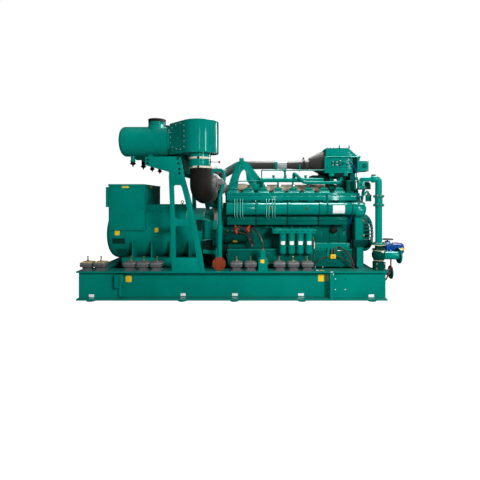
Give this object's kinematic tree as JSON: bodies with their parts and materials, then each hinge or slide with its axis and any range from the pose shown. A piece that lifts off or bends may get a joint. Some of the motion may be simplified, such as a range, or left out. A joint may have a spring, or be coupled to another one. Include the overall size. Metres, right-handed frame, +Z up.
{
  "type": "gas engine generator set",
  "caption": "Skid-mounted gas engine and alternator with raised air cleaners, charge air cooler and gas inlet train.",
  "frame": {"origin": "on the floor, under the middle of the whole set's box", "axes": "+X along the crankshaft towards the gas inlet, +Z up, -Y is the side with the gas train"},
  "size_m": [5.049, 2.3849, 2.777],
  "materials": {
    "teal_paint": "glossy teal green enamel",
    "shade_paint": "satin teal green enamel on castings",
    "grey_casting": "dark grey painted casting",
    "stud_metal": "yellow zinc plated thread",
    "lagging": "beige heat wrap",
    "black_hose": "satin black pipe and hose",
    "red_hose": "dark red rubber hose",
    "turbo_casting": "grey casting",
    "black_rubber": "matt black rubber",
    "blue_paint": "blue enamel",
    "black_plastic": "black handwheel"
  },
  "bodies": {
    "set": {"rail_near": "teal_paint", "rail_far": "teal_paint", "cross_members": "teal_paint", "floor_pads": "teal_paint", "spare_mounts": "grey_casting", "spare_mount_studs": "stud_metal", "alternator_frame": "teal_paint", "alternator_end_bell": "teal_paint", "alternator_feet": "teal_paint", "terminal_box": "teal_paint", "alternator_top_cover": "teal_paint", "coupling_housing": "teal_paint", "flywheel_housing": "teal_paint", "engine_base": "teal_paint", "engine_block": "shade_paint", "engine_feet": "teal_paint", "cylinder_heads": "teal_paint", "rocker_covers": "teal_paint", "bank_rails": "teal_paint", "intake_manifolds": "teal_paint", "exhaust_manifold": "lagging", "front_cover": "teal_paint", "damper_guard": "shade_paint", "turbocharger": "turbo_casting", "charge_pipe": "black_hose", "cooler_inlet": "black_hose", "charge_cooler": "teal_paint", "throttle_box": "teal_paint", "lifting_bracket": "teal_paint", "water_rail": "teal_paint", "oil_filters": "teal_paint", "filter_header": "teal_paint", "starter_motor": "shade_paint", "coolant_pipes": "teal_paint", "vent_pipe": "teal_paint", "black_hoses": "black_hose", "red_hose": "red_hose", "blue_harness": "blue_paint", "junction_pedestal": "teal_paint", "blank_flange_pipe": "teal_paint", "stand_near": "teal_paint", "stand_far": "teal_paint", "stand_beams": "teal_paint", "air_cleaners": "teal_paint", "dust_valves": "black_rubber", "air_plenum": "teal_paint", "intake_elbow": "black_rubber", "gas_pipe": "teal_paint", "gas_valve": "shade_paint", "actuator": "blue_paint", "drain_pipe": "shade_paint"},
    "handwheel": {"handwheel": "black_plastic"}
  },
  "joints": [
    {"name": "handwheel_spin", "type": "hinge", "parent": "set", "child": "handwheel", "pos_m": [2.2655, -0.5225, 0.903], "axis": [0, 0, 1], "continuous": true}
  ]
}
